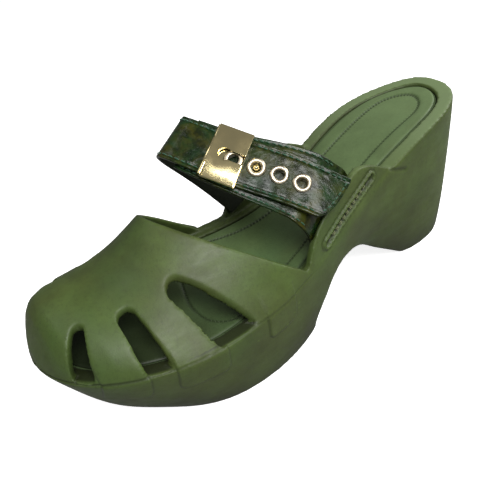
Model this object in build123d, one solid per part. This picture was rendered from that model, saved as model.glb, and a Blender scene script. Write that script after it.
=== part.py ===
"""Wedge-heeled rubber garden clog, left foot, with a leather buckle strap.

Frame: +Z up, the toe points to -Y, the outer (lateral) side is +X, millimetres.
The origin is the middle of the heel's flat rest on the ground.
Places on the shoe are given as (run, side, height): run grows from heel to toe.
"""

from build123d import *
import math
import os

os.makedirs("parts", exist_ok=True)

# ---- driving dimensions ----
RIM_HEIGHT = 38.5          # forefoot platform, ground to the top of the rim
WALL = 4.0                 # rubber wall of the toe cover and the ears
RIM_WIDTH = 8.0            # rubber rim left around the insole
FOAM = 3.4
COVER_SHEET = 1.0
POCKET_DEPTH = 4.8
LEATHER = 1.4
LINING = 1.0
STRAP_WIDTH = 23.0
EYELET_PITCH = 10.75
EYELET_HOLE_R = 2.35
EYELET_BARREL_R = 2.85
EYELET_FLANGE_R = 4.5
FIT = 0.05                 # clearance between pieces that are only laid on each other
STRAP_STACK = LEATHER + LINING
STRAP_GAP = 0.7            # room between the long strap and the short strap below it
EYELET_FLANGE = 0.75       # height of the eyelet's rim above the leather
EYELET_WASHER = 0.4
BASE_PLATE = 0.9
COVER_PLATE = 1.2
COVER_GAP = 0.3
PLATE_WIDTH = 26.0
PLATE_START = -11.2        # hinge line of the cover plate, along the strap from the hidden eyelet
PLATE_END = 5.0
KNUCKLE_R = 1.25
PIN_R = 0.6
KNUCKLE_LENGTH = 6.0
KNUCKLE_ROOT = 0.4         # how far the plates reach into their knuckles, past the hinge line
HINGE_CLEAR = 0.25         # room between neighbouring parts of the hinge
BASE_INSET = 0.4           # the base plate ends this far inside the cover plate's ends
TAIL_START = 5.6           # where the free end of the long strap starts to bend
STUD_R = 1.5
THREAD_R = 0.28
STITCH = 2.3
STITCH_PITCH = 3.2
SEAM_INSET = 2.0
SHORT_SEAM_INSET = 1.4
RIBBON_STEP = 3.0          # every ply has sections at the same places, so plies lie flat on each other
PLATE_LIFT = 0.12          # underside of the buckle's base above the leather

HALF_REACH = 90            # half the width of slabs that are cut or kept across the whole shoe
ABOVE_ALL = 200            # a height above the whole shoe
WINDOW_CORNER_R = 1.5      # corner radius at a window's mouth
STRAP_ROOM = 0.3           # room around a strap where it passes into an ear
INSOLE_GAP = 0.5           # room between the insole and the wall of its pocket

# ---- plan outline at the rim, heel back first, then the lateral side to the toe and back ----
OUTLINE = [
    (-40, 0), (-29, 22.5), (1, 32), (45, 34), (85, 40), (125, 48.5), (155, 50), (184, 40.5), (206, 21),
    (213.5, -6), (202, -31.5), (178, -44), (150, -47), (105, -38.5), (60, -28.5), (1, -31), (-28, -20),
]
# ---- side profile lines as (run, height) ----
RIM_LINE = [
    (-44, 86.5), (-20, 81.5), (0, 77), (40, 62.5), (60, 52.5), (80, 44.5), (100, 40), (118, RIM_HEIGHT),
]
HEEL_LIFT = [(-44, 9), (-28, 3), (-12, 0)]
ARCH_LINE = [
    (6, 0), (14, 3), (22, 8.4), (32, 15), (45, 25), (58, 31), (67, 30.5), (76, 24), (82.5, 15.5), (89, 5.2),
    (98, 0),
]
TOE_SPRING = [(150, 0), (185, 5), (205, 16), (222, 30)]
TOE_END = 222
# how far the underside is drawn in from the rim outline, by run
TUCK = [(-44, 4.5), (0, 10), (50, 8), (97, 3), (113, 3), (130, 5.2), (150, 9), (180, 16.5), (222, 14)]
# top edge of the ears at the middle of the shoe, from behind the ear down to the rim
EAR_EDGE = [
    (10, 58.5), (29, 64.2), (40, 70), (48, 73.4), (55, 74), (63, 70.2), (72, 65.5), (80, 61.5), (86, 56.5),
    (90, 51), (94, 43.5), (100, 33),
]
EAR_TILT = 0.07            # rise of the ears' edge towards the lateral side
# the throat is a flat slanting cut: height at its rear end, rise along the run, rise across
THROAT_START = (95, 36.7)
THROAT_RISE = 0.825
THROAT_TILT = 0.167
RIM_STRIP = 2.0            # lowest height of the upper above the rim, in front of the ears
STRIP_START = 80
# toe cover: run, crest height, two exponents of the arch section, side offset of the crest
COVER_SECTIONS = [
    (8, 132, 3.2, 0.31, -1), (40, 132, 3.2, 0.31, -1), (70, 132, 3.0, 0.33, -2), (88, 120, 2.6, 0.385, -3),
    (100, 103.5, 1.92, 0.54, -2.8), (125, 93.6, 1.76, 0.95, -3), (148, 81.3, 1.75, 1.1, -1.5),
    (165, 69.1, 1.88, 0.88, -2.6), (180, 63.5, 1.98, 0.62, -4.3), (195, 63, 2.0, 0.52, -6),
    (206, 58.8, 2.0, 0.48, -7.2), (213, 43.5, 2.0, 0.45, -6.3),
]
COVER_STEP = 6             # distance between the cover's sections
# windows in plan: inner end (run, side, radius) and the mouth on the outline, rear and front (run, side)
LATERAL_WINDOWS = [
    ((154.5, 28.3, 4.0), (126.5, 54.5), (147.5, 54.5)),
    ((176.9, 24.6, 3.9), (171.3, 54), (180, 52)),
    ((195.5, 17.2, 2.6), (203, 36.2), (214, 31)),
]
MEDIAL_WINDOWS = [
    ((152, -30, 3.5), (130, -53), (144, -54)),
    ((173, -28, 3.6), (168, -53), (177, -51)),
    ((190, -23, 2.0), (195.5, -44), (203, -38)),
]


def at(run, side, height):
    """A point of the shoe in the shared frame."""
    return Vector(side, -run, height)


def along(stations, run, column=1):
    """Straight-line interpolation of one column of a list of stations."""
    if run <= stations[0][0]:
        return stations[0][column]
    for a, b in zip(stations, stations[1:]):
        if run <= b[0]:
            share = (run - a[0]) / (b[0] - a[0])
            return a[column] + share * (b[column] - a[column])
    return stations[-1][column]


def smooth_along(stations, run, column):
    """Smooth (Catmull-Rom) interpolation of one column of a list of stations."""
    last = len(stations) - 2
    i = min(max(sum(1 for station in stations if station[0] <= run) - 1, 0), last)
    a, b = stations[i], stations[i + 1]
    before, after = stations[max(i - 1, 0)], stations[min(i + 2, last + 1)]
    span = b[0] - a[0]
    share = (run - a[0]) / span
    slope_a = (b[column] - before[column]) / (b[0] - before[0]) * span
    slope_b = (after[column] - a[column]) / (after[0] - a[0]) * span
    square, cube = share ** 2, share ** 3
    return (
        (2 * cube - 3 * square + 1) * a[column] + (cube - 2 * square + share) * slope_a
        + (3 * square - 2 * cube) * b[column] + (cube - square) * slope_b
    )


def ground_height(run):
    """Height of the underside at a run."""
    if run < HEEL_LIFT[-1][0]:
        return along(HEEL_LIFT, run)
    if run < ARCH_LINE[-1][0]:
        return along(ARCH_LINE, run)
    return along(TOE_SPRING, run)


def rim_height(run):
    return along(RIM_LINE, run)


def inset_outline(inset):
    """The rim outline moved inward; inset is a number or a function of run."""
    moved = []
    count = len(OUTLINE)
    for i, (run, side) in enumerate(OUTLINE):
        before = OUTLINE[i - 1]
        after = OUTLINE[(i + 1) % count]
        direction = (after[0] - before[0], after[1] - before[1])
        length = math.hypot(*direction)
        amount = inset(run) if callable(inset) else inset
        moved.append((run + amount * direction[1] / length, side - amount * direction[0] / length))
    return moved


def ring(inset, height):
    """Closed wire around the shoe; height is a function of run."""
    points = [at(run, side, height(run)) for run, side in inset_outline(inset)]
    return Wire([Spline(*points, periodic=True).edge()])


def curve(points, level_start=False, level_end=False):
    """Smooth side-profile edge; an end that meets a level line starts or stops level."""
    vectors = [at(run, 0, height) for run, height in points]
    forward = vectors[-1] - vectors[0]
    level = Vector(0, 1 if forward.Y > 0 else -1, 0)
    start = level if level_start else (vectors[1] - vectors[0])
    end = level if level_end else (vectors[-1] - vectors[-2])
    return Spline(*vectors, tangents=[start.normalized(), end.normalized()]).edge()


def chain(*points):
    """Straight side-profile edges through the points."""
    vectors = [at(run, 0, height) for run, height in points]
    return [Line(a, b).edge() for a, b in zip(vectors, vectors[1:])]


def side_sheet(edges):
    """Closed side-profile face."""
    return Face(Wire(edges))


def widen(face, tilt=0.0):
    """A side-profile face made into a slab that is wider than the shoe and rises to the lateral side."""
    return extrude(face, amount=HALF_REACH, dir=(1, 0, tilt), both=True)


def lifted(points, amount):
    return [(run, height + amount) for run, height in points]


def plan_prism(points, low, high):
    """Upright prism on a smooth closed plan outline."""
    wire = Wire([Spline(*[at(run, side, low) for run, side in points], periodic=True).edge()])
    return extrude(Face(wire), amount=high - low, dir=(0, 0, 1))


def keep_solid(shape):
    """The largest solid of a result, so no sliver is kept."""
    solids = sorted(shape.solids(), key=lambda solid: solid.volume)
    return solids[-1]


# ---- sole ----
def sole_profile():
    """Side profile between the ground line and the rim line."""
    edges = [curve(HEEL_LIFT, level_end=True)]
    edges += chain(HEEL_LIFT[-1], ARCH_LINE[0])
    edges += [curve(ARCH_LINE, level_start=True, level_end=True)]
    edges += chain(ARCH_LINE[-1], TOE_SPRING[0])
    edges += [curve(TOE_SPRING, level_start=True)]
    edges += chain(TOE_SPRING[-1], (TOE_END, RIM_HEIGHT), RIM_LINE[-1])
    edges += [curve(RIM_LINE, level_end=True)]
    edges += chain(RIM_LINE[0], HEEL_LIFT[0])
    return side_sheet(edges)


def layer(low_shift, high_shift):
    """Slab that follows the rim line, between two distances from it."""
    low = lifted(RIM_LINE, low_shift)
    high = lifted(RIM_LINE, high_shift)
    edges = [curve(low, level_end=True)]
    edges += chain(low[-1], (TOE_END, low[-1][1]), (TOE_END, high[-1][1]), high[-1])
    edges += [curve(high, level_end=True)]
    edges += chain(high[0], low[0])
    return widen(side_sheet(edges))


def tuck(share):
    return lambda run: share * along(TUCK, run)


def share_height(share):
    """Height at a share of the way from the underside to the rim."""
    return lambda run: ground_height(run) + share * (rim_height(run) - ground_height(run))


def make_sole():
    """Wedge between the underside and the rim, drawn in underneath, with a pocket for the insole."""
    body = Solid.make_loft([
        ring(tuck(1.3), lambda run: -30),
        ring(tuck(1.3), share_height(-0.12)),
        ring(tuck(0.8), share_height(0.10)),
        ring(tuck(0.42), share_height(0.38)),
        ring(tuck(0.06), share_height(0.78)),
        ring(0, share_height(1.25)),
        ring(0, lambda run: 125),
    ])
    sole = body & widen(sole_profile())
    pocket = plan_prism(inset_outline(RIM_WIDTH), -10, 130) & layer(-POCKET_DEPTH, 30)
    return keep_solid(sole - pocket)


def insole_layer(low_shift, high_shift):
    footprint = plan_prism(inset_outline(RIM_WIDTH + INSOLE_GAP), 0, ABOVE_ALL)
    return keep_solid(footprint & layer(low_shift, high_shift))


# ---- upper: the toe cover and the two ears, one moulding bonded on the rim ----
def half_widths(run, inward):
    """Side coordinates at a run of the outline moved inward, lateral and medial."""
    points = [at(r, side, 0) for r, side in inset_outline(inward)]
    edge = Spline(*points, periodic=True).edge()
    samples = [edge.position_at(i / 720) for i in range(721)]
    found = {}
    for a, b in zip(samples, samples[1:]):
        run_a, run_b = -a.Y, -b.Y
        if (run_a - run) * (run_b - run) <= 0 and run_a != run_b:
            side = a.X + (run - run_a) / (run_b - run_a) * (b.X - a.X)
            found["lateral" if run_b > run_a else "medial"] = side
    return found["lateral"], found["medial"]


def cover_section(run, inward, floor):
    """Arch section of the cover at one run, closed below, drawn in by the wall for the inside."""
    crest, spread, fall, middle = (smooth_along(COVER_SECTIONS, run, column) for column in (1, 2, 3, 4))
    lateral, medial = half_widths(run, inward)
    rise = crest - inward - RIM_HEIGHT
    arch = []
    steps = 20
    for i in range(steps + 1):
        angle = math.pi * i / steps
        across = abs(math.cos(angle))
        up = max(0, 1 - across ** spread) ** fall
        reach = lateral - middle if i <= steps / 2 else medial - middle
        arch.append(at(run, middle + reach * across, RIM_HEIGHT + rise * up))
    low_medial = at(run, medial, floor)
    low_lateral = at(run, lateral, floor)
    return Wire([
        Spline(*arch).edge(), Line(arch[-1], low_medial).edge(),
        Line(low_medial, low_lateral).edge(), Line(low_lateral, arch[0]).edge(),
    ])


def cover_body(inward, floor):
    """Solid through the cover's sections, or its inside."""
    last_run = COVER_SECTIONS[-1][0] - 1.5 * inward
    runs = [8, 40, 70] + list(range(88, 203, COVER_STEP)) + [204, 207, 209.5, 211.5, 213]
    return Solid.make_loft([cover_section(run, inward, floor) for run in runs if run < last_run + 0.1], True)


def upper_slab():
    """Everything below the ears' edge and the slanting throat cut, and a low strip that joins them."""
    rear, front = EAR_EDGE[0][0], EAR_EDGE[-1][0]
    ear_face = side_sheet([curve(EAR_EDGE)] + chain(EAR_EDGE[-1], (front, 0), (rear, 0), EAR_EDGE[0]))
    start, height = THROAT_START
    toe_height = height + THROAT_RISE * (TOE_END - start)
    corners = [(start, 0), (start, height), (TOE_END, toe_height), (TOE_END, 0)]
    throat_face = side_sheet(chain(*corners, corners[0]))
    box = [(STRIP_START, 0), (TOE_END, 0), (TOE_END, ABOVE_ALL), (STRIP_START, ABOVE_ALL)]
    front_part = widen(side_sheet(chain(*box, box[0])))
    strip = layer(-1, RIM_STRIP) & front_part
    return widen(ear_face, EAR_TILT) + widen(throat_face, THROAT_TILT) + strip


def window_cutter(head, rear, front):
    """Upright cutter: a round inner end spreading to a wide mouth outside the outline."""
    run, side, radius = head
    circle = Pos(side, -run, 0) * Circle(radius)
    mouth = [Pos(side, -run, 0) * Circle(WINDOW_CORNER_R) for run, side in (rear, front)]
    hull = make_hull(circle.edges() + mouth[0].edges() + mouth[1].edges())
    return Pos(0, 0, RIM_HEIGHT) * extrude(hull, amount=ABOVE_ALL)


def make_upper(short_strap_room, long_strap_room, grooves):
    """Toe cover and ears: the shell cut by the rim, the ear and throat edges, windows and grooves."""
    shell = cover_body(0, 20) - cover_body(WALL, 5)
    shell = shell & layer(0, ABOVE_ALL)
    shell = shell & upper_slab()
    for window in LATERAL_WINDOWS + MEDIAL_WINDOWS:
        shell = shell - window_cutter(*window)
    for room in [short_strap_room, long_strap_room] + grooves:
        shell = shell - room
    return keep_solid(shell)


# ---- straps: bands that follow a path, with a direction across at each station ----
class Band:
    """A path with a direction across it. Distances are measured along it from one station."""

    def __init__(self, stations, zero_station=0):
        self.edge = Spline(*[at(*station[:3]) for station in stations]).edge()
        self.length = self.edge.length
        self.marks = [self.distance_of(at(*station[:3])) for station in stations]
        self.across = [at(*station[3:]) for station in stations]
        self.zero = self.marks[zero_station]

    def distance_of(self, point):
        """Distance from the path's start of the place nearest to a point."""
        steps = 600
        nearest = min(range(steps + 1), key=lambda i: (self.edge.position_at(i / steps) - point).length)
        return self.length * nearest / steps

    def frame(self, distance):
        """Centre, direction along, direction across and outward normal at a distance."""
        place = min(max(distance + self.zero, 0), self.length)
        share = place / self.length
        centre = self.edge.position_at(share)
        forward = self.edge.tangent_at(share)
        across = self.across[-1]
        for i in range(len(self.marks) - 1):
            if place <= self.marks[i + 1]:
                part = (place - self.marks[i]) / (self.marks[i + 1] - self.marks[i])
                across = self.across[i] * (1 - part) + self.across[i + 1] * part
                break
        across = (across - forward * across.dot(forward)).normalized()
        return centre, forward, across, across.cross(forward)

    def point(self, distance, aside, height):
        centre, _, across, outward = self.frame(distance)
        return centre + across * aside + outward * height

    def plane(self, distance, aside=0.0, height=0.0):
        """Plane whose x is along the band and whose z points outward."""
        _, forward, _, outward = self.frame(distance)
        return Plane(origin=self.point(distance, aside, height), x_dir=forward, z_dir=outward)

    def ribbon(self, start, end, rear, front, low, high):
        """Solid strip between two distances, two edges (numbers or functions) and two heights."""
        first = math.floor(start / RIBBON_STEP) + 1
        last = math.ceil(end / RIBBON_STEP) - 1
        inner = [RIBBON_STEP * i for i in range(first, last + 1)]
        sections = []
        for d in [start] + [d for d in inner if start + 0.4 < d < end - 0.4] + [end]:
            r = rear(d) if callable(rear) else rear
            f = front(d) if callable(front) else front
            corners = ((r, low), (f, low), (f, high), (r, high))
            sections.append(Wire.make_polygon([self.point(d, *corner) for corner in corners], close=True))
        return Solid.make_loft(sections, True)

    def peg(self, distance, aside, radius, low, high):
        """Round bar along the band's normal."""
        plane = self.plane(distance, aside, (low + high) / 2)
        return plane * Cylinder(radius, high - low)

    def stitches(self, start, end, aside, height, length=STITCH, radius=THREAD_R):
        """Separate thread bars laid along a seam line."""
        count = max(1, math.floor((end - start) / STITCH_PITCH))
        pitch = (end - start) / count
        bars = []
        for i in range(count):
            d = start + pitch * (i + 0.5)
            side = aside(d) if callable(aside) else aside
            plane = self.plane(d, side, height + radius + 3 * FIT)
            bars.append(plane * Rot(0, 90, 0) * Cylinder(radius, length))
        return bars


# path of the long strap's face, from inside the medial ear over the instep to the free tip
LONG_PATH = [
    (79.5, -28.8, 51, 0.86, -0.20, -0.47), (86.5, -33.5, 62, 0.86, -0.16, -0.48),
    (99.5, -37.3, 79.5, 0.86, -0.05, -0.50), (113, -29.5, 95.5, 0.86, 0.10, -0.50),
    (119, -17, 104, 0.85, 0.22, -0.48), (111, -1.5, 98.5, 0.82, 0.25, -0.52),
    (104, 8, 93.5, 0.78, 0.25, -0.57), (98, 15.7, 89.5, 0.75, 0.24, -0.62),
    (91.5, 23.6, 85.5, 0.75, 0.24, -0.62), (85, 32, 81, 0.78, 0.26, -0.57),
    (74, 43.5, 72, 0.84, 0.28, -0.47), (70, 46, 69, 0.86, 0.28, -0.43),
]
HIDDEN_EYELET_STATION = 6
LONG = Band(LONG_PATH, HIDDEN_EYELET_STATION)
LONG_START = -LONG.zero
TIP_REAR = 55.0            # the tip is cut on a slant between these distances
TIP_FRONT = 47.0
UNDER = -(STRAP_STACK + STRAP_GAP)


def short_path():
    """Stations of the short strap: under the long strap, then into the lateral ear."""
    stations = []
    for distance in (-24, -18, -12, -6, 0, 6, 12, 18, 24, 30, 34):
        _, _, across, _ = LONG.frame(distance)
        point = LONG.point(distance, 0, UNDER)
        stations.append((-point.Y, point.X, point.Z, -across.Y, across.X, across.Z))
    stations.append((76.5, 35.0, 69.5, 0.85, 0.22, -0.47))
    stations.append((72, 33.0, 63, 0.86, 0.20, -0.47))
    stations.append((69.5, 31.8, 58.5, 0.86, 0.20, -0.47))
    return stations


SHORT = Band(short_path(), 4)
SHORT_START = -SHORT.zero
SHORT_END = SHORT.length - SHORT.zero
SHORT_EDGES = [(-24, -13.5, 12.5), (0, -14.3, 13.8), (32, -17.3, 16), (60, -19, 19)]


def short_rear(distance):
    return along(SHORT_EDGES, distance, 1)


def short_front(distance):
    return along(SHORT_EDGES, distance, 2)


EYELETS = [EYELET_PITCH * i for i in range(4)]
RIVETS = [(-7.5, -9.0), (-7.5, 9.0), (1.5, -9.0), (1.5, 9.0)]
RIVET_R = 0.8
RIVET_HEAD_R = 1.2
RIVET_HEAD = (0.07, 0.17)  # underside and top of the head above the base plate
RIVET_FOOT_R = 1.5
RIVET_FOOT = 0.2           # thickness of the clenched foot
HALF = STRAP_WIDTH / 2
SEAM = HALF - SEAM_INSET


def tip_cutter():
    """Wedge that slants the strap's tip."""
    rear = LONG.point(TIP_REAR, -HALF - 2, 0)
    front = LONG.point(TIP_FRONT, HALF + 2, 0)
    _, forward, _, outward = LONG.frame((TIP_REAR + TIP_FRONT) / 2)
    line = (front - rear).normalized()
    plane = Plane(origin=(rear + front) / 2, x_dir=line, z_dir=outward)
    away = 1 if plane.y_dir.dot(forward) > 0 else -1
    return plane * Pos(0, away * 15, 0) * Box(60, 30, 30)


def long_fixed(low, high):
    """One ply of the fixed part of the long strap, with its eyelet and rivet holes."""
    ply = LONG.ribbon(LONG_START, PLATE_END, -HALF, HALF, low, high)
    ply = ply - LONG.peg(EYELETS[0], 0, EYELET_BARREL_R + FIT, low - 1, high + 1)
    for distance, aside in RIVETS:
        ply = ply - LONG.peg(distance, aside, RIVET_R + FIT, low - 1, high + 1)
    return keep_solid(ply)


def long_tail(low, high):
    """One ply of the free end of the long strap."""
    ply = LONG.ribbon(TAIL_START, LONG.length - LONG.zero, -HALF, HALF, low, high) - tip_cutter()
    for distance in EYELETS[1:]:
        ply = ply - LONG.peg(distance, 0, EYELET_BARREL_R + FIT, low - 1, high + 1)
    return keep_solid(ply)


def short_ply(low, high):
    """One ply of the short strap, with the stud's hole."""
    ply = SHORT.ribbon(SHORT_START, SHORT_END, short_rear, short_front, low, high)
    return keep_solid(ply - LONG.peg(EYELETS[1], 0, STUD_R + FIT, UNDER - 5, 1))


def eyelet(distance):
    """Rolled rim above the leather and a barrel through both plies."""
    bottom = -STRAP_STACK - EYELET_WASHER
    rim = LONG.peg(distance, 0, EYELET_FLANGE_R, 0.15, EYELET_FLANGE)
    rim = fillet(rim.edges().sort_by(lambda e: (e.center() - LONG.point(distance, 0, 9)).length)[0], 0.5)
    barrel = LONG.peg(distance, 0, EYELET_BARREL_R, bottom, 0.4)
    return keep_solid(rim + barrel - LONG.peg(distance, 0, EYELET_HOLE_R, bottom - 1, EYELET_FLANGE + 1))


def washer(distance):
    """Flat ring clenched against the lining."""
    low = -STRAP_STACK - EYELET_WASHER
    ring_body = LONG.peg(distance, 0, EYELET_FLANGE_R - 0.5, low, low + EYELET_WASHER - 0.15)
    return keep_solid(ring_body - LONG.peg(distance, 0, EYELET_BARREL_R + FIT, low - 1, 1))


# ---- buckle ----
HINGE_HEIGHT = PLATE_LIFT + KNUCKLE_R
COVER_LOW = BASE_PLATE + COVER_GAP
SLOT_HALF = 2.25
SLOT_ROUND_R = 3.0
SLOT_ROUND_AT = -4.2


def across_bar(distance, height, radius, start, end):
    """Round bar laid across the strap between two offsets from its middle."""
    _, forward, across, _ = LONG.frame(distance)
    centre = LONG.point(distance, (start + end) / 2, height)
    return Plane(origin=centre, x_dir=forward, z_dir=across) * Cylinder(radius, end - start)


def make_buckle_base():
    """Plate on the strap with the two outer hinge knuckles."""
    half = PLATE_WIDTH / 2 - BASE_INSET
    rear = PLATE_START + KNUCKLE_R + HINGE_CLEAR
    plate = LONG.ribbon(rear, PLATE_END - BASE_INSET / 2, -half, half, PLATE_LIFT, BASE_PLATE)
    for start in (-half, half - KNUCKLE_LENGTH):
        end = start + KNUCKLE_LENGTH
        tab_low = PLATE_LIFT + 0.2
        plate = plate + LONG.ribbon(PLATE_START - KNUCKLE_ROOT, rear + 1, start, end, tab_low, BASE_PLATE)
        plate = plate + across_bar(PLATE_START, HINGE_HEIGHT, KNUCKLE_R, start, end)
    plate = plate - across_bar(PLATE_START, HINGE_HEIGHT, PIN_R + FIT, -half - 1, half + 1)
    plate = plate - LONG.peg(EYELETS[0], 0, EYELET_FLANGE_R + 0.2, -1, 2)
    for distance, aside in RIVETS:
        plate = plate - LONG.peg(distance, aside, RIVET_R + FIT, -1, 2)
    return keep_solid(plate)


def make_buckle_cover():
    """Hinged plate with a keyhole slot open to the free edge, and the middle knuckle."""
    half = PLATE_WIDTH / 2
    middle = half - BASE_INSET - KNUCKLE_LENGTH - HINGE_CLEAR
    top = COVER_LOW + COVER_PLATE
    rear = PLATE_START + KNUCKLE_R + HINGE_CLEAR
    plate = LONG.ribbon(rear, PLATE_END, -half, half, COVER_LOW, top)
    plate = plate + LONG.ribbon(PLATE_START - KNUCKLE_ROOT, rear + 1, -middle, middle, COVER_LOW, top)
    plate = plate + across_bar(PLATE_START, HINGE_HEIGHT, KNUCKLE_R, -middle, middle)
    plate = plate - across_bar(PLATE_START, HINGE_HEIGHT, PIN_R + FIT, -middle - 1, middle + 1)
    plate = plate - LONG.peg(SLOT_ROUND_AT, 0, SLOT_ROUND_R, 0, 4)
    slot_middle = (SLOT_ROUND_AT + PLATE_END + 2) / 2
    slot = LONG.plane(slot_middle, 0, 1.5) * Box(PLATE_END + 2 - SLOT_ROUND_AT, 2 * SLOT_HALF, 6)
    return keep_solid(plate - slot)


def make_pin():
    half = PLATE_WIDTH / 2 - BASE_INSET
    return across_bar(PLATE_START, HINGE_HEIGHT, PIN_R, -half, half)


def rivet(distance, aside):
    """Shank through the plate and both plies, with a flat head at each end."""
    low = -STRAP_STACK - EYELET_WASHER
    head_low, head_high = BASE_PLATE + RIVET_HEAD[0], BASE_PLATE + RIVET_HEAD[1]
    shank = LONG.peg(distance, aside, RIVET_R, low, head_high)
    foot = LONG.peg(distance, aside, RIVET_FOOT_R, low, low + RIVET_FOOT)
    return keep_solid(shank + foot + LONG.peg(distance, aside, RIVET_HEAD_R, head_low, head_high))


def make_stud():
    """Pin on the short strap that holds the first open eyelet, with a pointed head."""
    foot = UNDER - STRAP_STACK - 0.6
    shank = LONG.peg(EYELETS[1], 0, STUD_R, foot, -0.2)
    head = LONG.plane(EYELETS[1], 0, 0.2) * Cone(STUD_R, 0.5, 0.8)
    return keep_solid(shank + head + LONG.peg(EYELETS[1], 0, 3.0, foot, foot + 0.5))


# ---- stitched grooves on the ears ----
LATERAL_GROOVE = Band([
    (46, 34.2, 68.3, 0.46, 0.10, 0.88), (63.2, 36.4, 59.4, 0.46, 0.10, 0.88),
    (80.3, 39.2, 50.3, 0.46, 0.10, 0.88),
])
MEDIAL_GROOVE = Band([
    (80, -32.6, 50.5, 0.46, -0.10, 0.88), (65, -29.6, 58.5, 0.46, -0.10, 0.88),
    (50, -28, 66, 0.46, -0.10, 0.88),
])
GROOVE_DEPTH = 0.9
GROOVE_HALF = 1.3
GROOVE_MARGIN = 3.0        # bare length at each end of a groove


def groove_cutter(band):
    return band.ribbon(1, band.length - 1, -GROOVE_HALF, GROOVE_HALF, -GROOVE_DEPTH, 4)


def groove_stitches(band):
    return band.stitches(GROOVE_MARGIN, band.length - GROOVE_MARGIN, 0, -GROOVE_DEPTH)


def group(solids):
    return Compound(children=list(solids))


def strap_room(band, start, end, rear, front, low, high):
    """A strap's space with a little clearance, to cut out of the ear it passes into."""
    rear_edge = (lambda d: rear(d) - STRAP_ROOM) if callable(rear) else rear - STRAP_ROOM
    front_edge = (lambda d: front(d) + STRAP_ROOM) if callable(front) else front + STRAP_ROOM
    return band.ribbon(start, end, rear_edge, front_edge, low - STRAP_ROOM, high + STRAP_ROOM)


def edge_seams(start, rear_end, front_end):
    """Stitches along both edges of the long strap."""
    return LONG.stitches(start, rear_end, -SEAM, 0) + LONG.stitches(start, front_end, SEAM, 0)


NODES = {
    "sole_wedge": make_sole,
    "insole_foam": lambda: insole_layer(-POCKET_DEPTH + FIT, -POCKET_DEPTH + FOAM),
    "insole_cover": lambda: insole_layer(-POCKET_DEPTH + FOAM + FIT, -POCKET_DEPTH + FOAM + COVER_SHEET),
    "upper_shell": lambda: make_upper(
        strap_room(SHORT, 30, SHORT_END, short_rear, short_front, -STRAP_STACK, 0),
        strap_room(LONG, LONG_START, LONG_START + 30, -HALF, HALF, -STRAP_STACK, 0),
        [groove_cutter(LATERAL_GROOVE), groove_cutter(MEDIAL_GROOVE)],
    ),
    "long_strap_outer": lambda: long_fixed(-LEATHER, 0),
    "long_strap_lining": lambda: long_fixed(-STRAP_STACK, -LEATHER),
    "strap_tail_outer": lambda: long_tail(-LEATHER, 0),
    "strap_tail_lining": lambda: long_tail(-STRAP_STACK, -LEATHER),
    "short_strap_outer": lambda: short_ply(-LEATHER, 0),
    "short_strap_lining": lambda: short_ply(-STRAP_STACK, -LEATHER),
    "buckle_base": make_buckle_base,
    "buckle_cover": make_buckle_cover,
    "hinge_pin": make_pin,
    "base_rivets": lambda: group(rivet(*place) for place in RIVETS),
    "strap_stud": make_stud,
    "hidden_eyelet": lambda: eyelet(EYELETS[0]),
    "hidden_washer": lambda: washer(EYELETS[0]),
    "tail_eyelets": lambda: group(eyelet(distance) for distance in EYELETS[1:]),
    "tail_washers": lambda: group(washer(distance) for distance in EYELETS[1:]),
    "long_strap_stitches": lambda: group(edge_seams(LONG_START + 14, PLATE_START - 2, PLATE_START - 2)),
    "tail_stitches": lambda: group(edge_seams(TAIL_START + 1.5, TIP_REAR - 4, TIP_FRONT - 2)),
    "short_strap_stitches": lambda: group(
        SHORT.stitches(SHORT_START + 2, 40, lambda d: short_rear(d) + SHORT_SEAM_INSET, 0, radius=0.2)
        + SHORT.stitches(SHORT_START + 2, 40, lambda d: short_front(d) - SHORT_SEAM_INSET, 0, radius=0.2)
    ),
    "lateral_ear_stitches": lambda: group(groove_stitches(LATERAL_GROOVE)),
    "medial_ear_stitches": lambda: group(groove_stitches(MEDIAL_GROOVE)),
}

for name, make in NODES.items():
    export_step(make(), f"parts/{name}.step")
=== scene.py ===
"""Looks of the wedge-heeled rubber clog with a leather buckle strap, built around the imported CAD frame.

Places on the shoe are given in millimetres as (run, side, height): run grows from heel to toe (-Y),
side grows to the outer side of the foot (+X). Everything in Blender is in metres.
"""

import math
from contextlib import contextmanager

import bmesh
import bpy
import numpy as np
from mathutils import Matrix, Vector
from mathutils.kdtree import KDTree


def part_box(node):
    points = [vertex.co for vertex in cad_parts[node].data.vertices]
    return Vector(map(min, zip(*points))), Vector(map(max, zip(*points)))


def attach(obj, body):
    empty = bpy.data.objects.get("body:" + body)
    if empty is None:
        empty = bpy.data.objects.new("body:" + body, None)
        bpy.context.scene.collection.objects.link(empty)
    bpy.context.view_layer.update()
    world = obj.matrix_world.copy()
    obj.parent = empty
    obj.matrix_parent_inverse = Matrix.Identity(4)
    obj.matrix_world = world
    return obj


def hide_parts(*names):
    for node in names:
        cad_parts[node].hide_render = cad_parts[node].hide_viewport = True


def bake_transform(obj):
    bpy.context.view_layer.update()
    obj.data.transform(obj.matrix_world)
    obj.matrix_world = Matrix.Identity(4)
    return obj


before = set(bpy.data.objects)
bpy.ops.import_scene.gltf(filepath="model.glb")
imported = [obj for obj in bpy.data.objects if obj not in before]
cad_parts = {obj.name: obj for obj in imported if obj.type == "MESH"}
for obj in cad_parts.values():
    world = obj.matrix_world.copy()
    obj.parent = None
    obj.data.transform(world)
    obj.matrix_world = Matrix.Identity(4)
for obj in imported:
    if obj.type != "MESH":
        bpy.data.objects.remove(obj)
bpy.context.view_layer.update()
MM = 0.001

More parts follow.
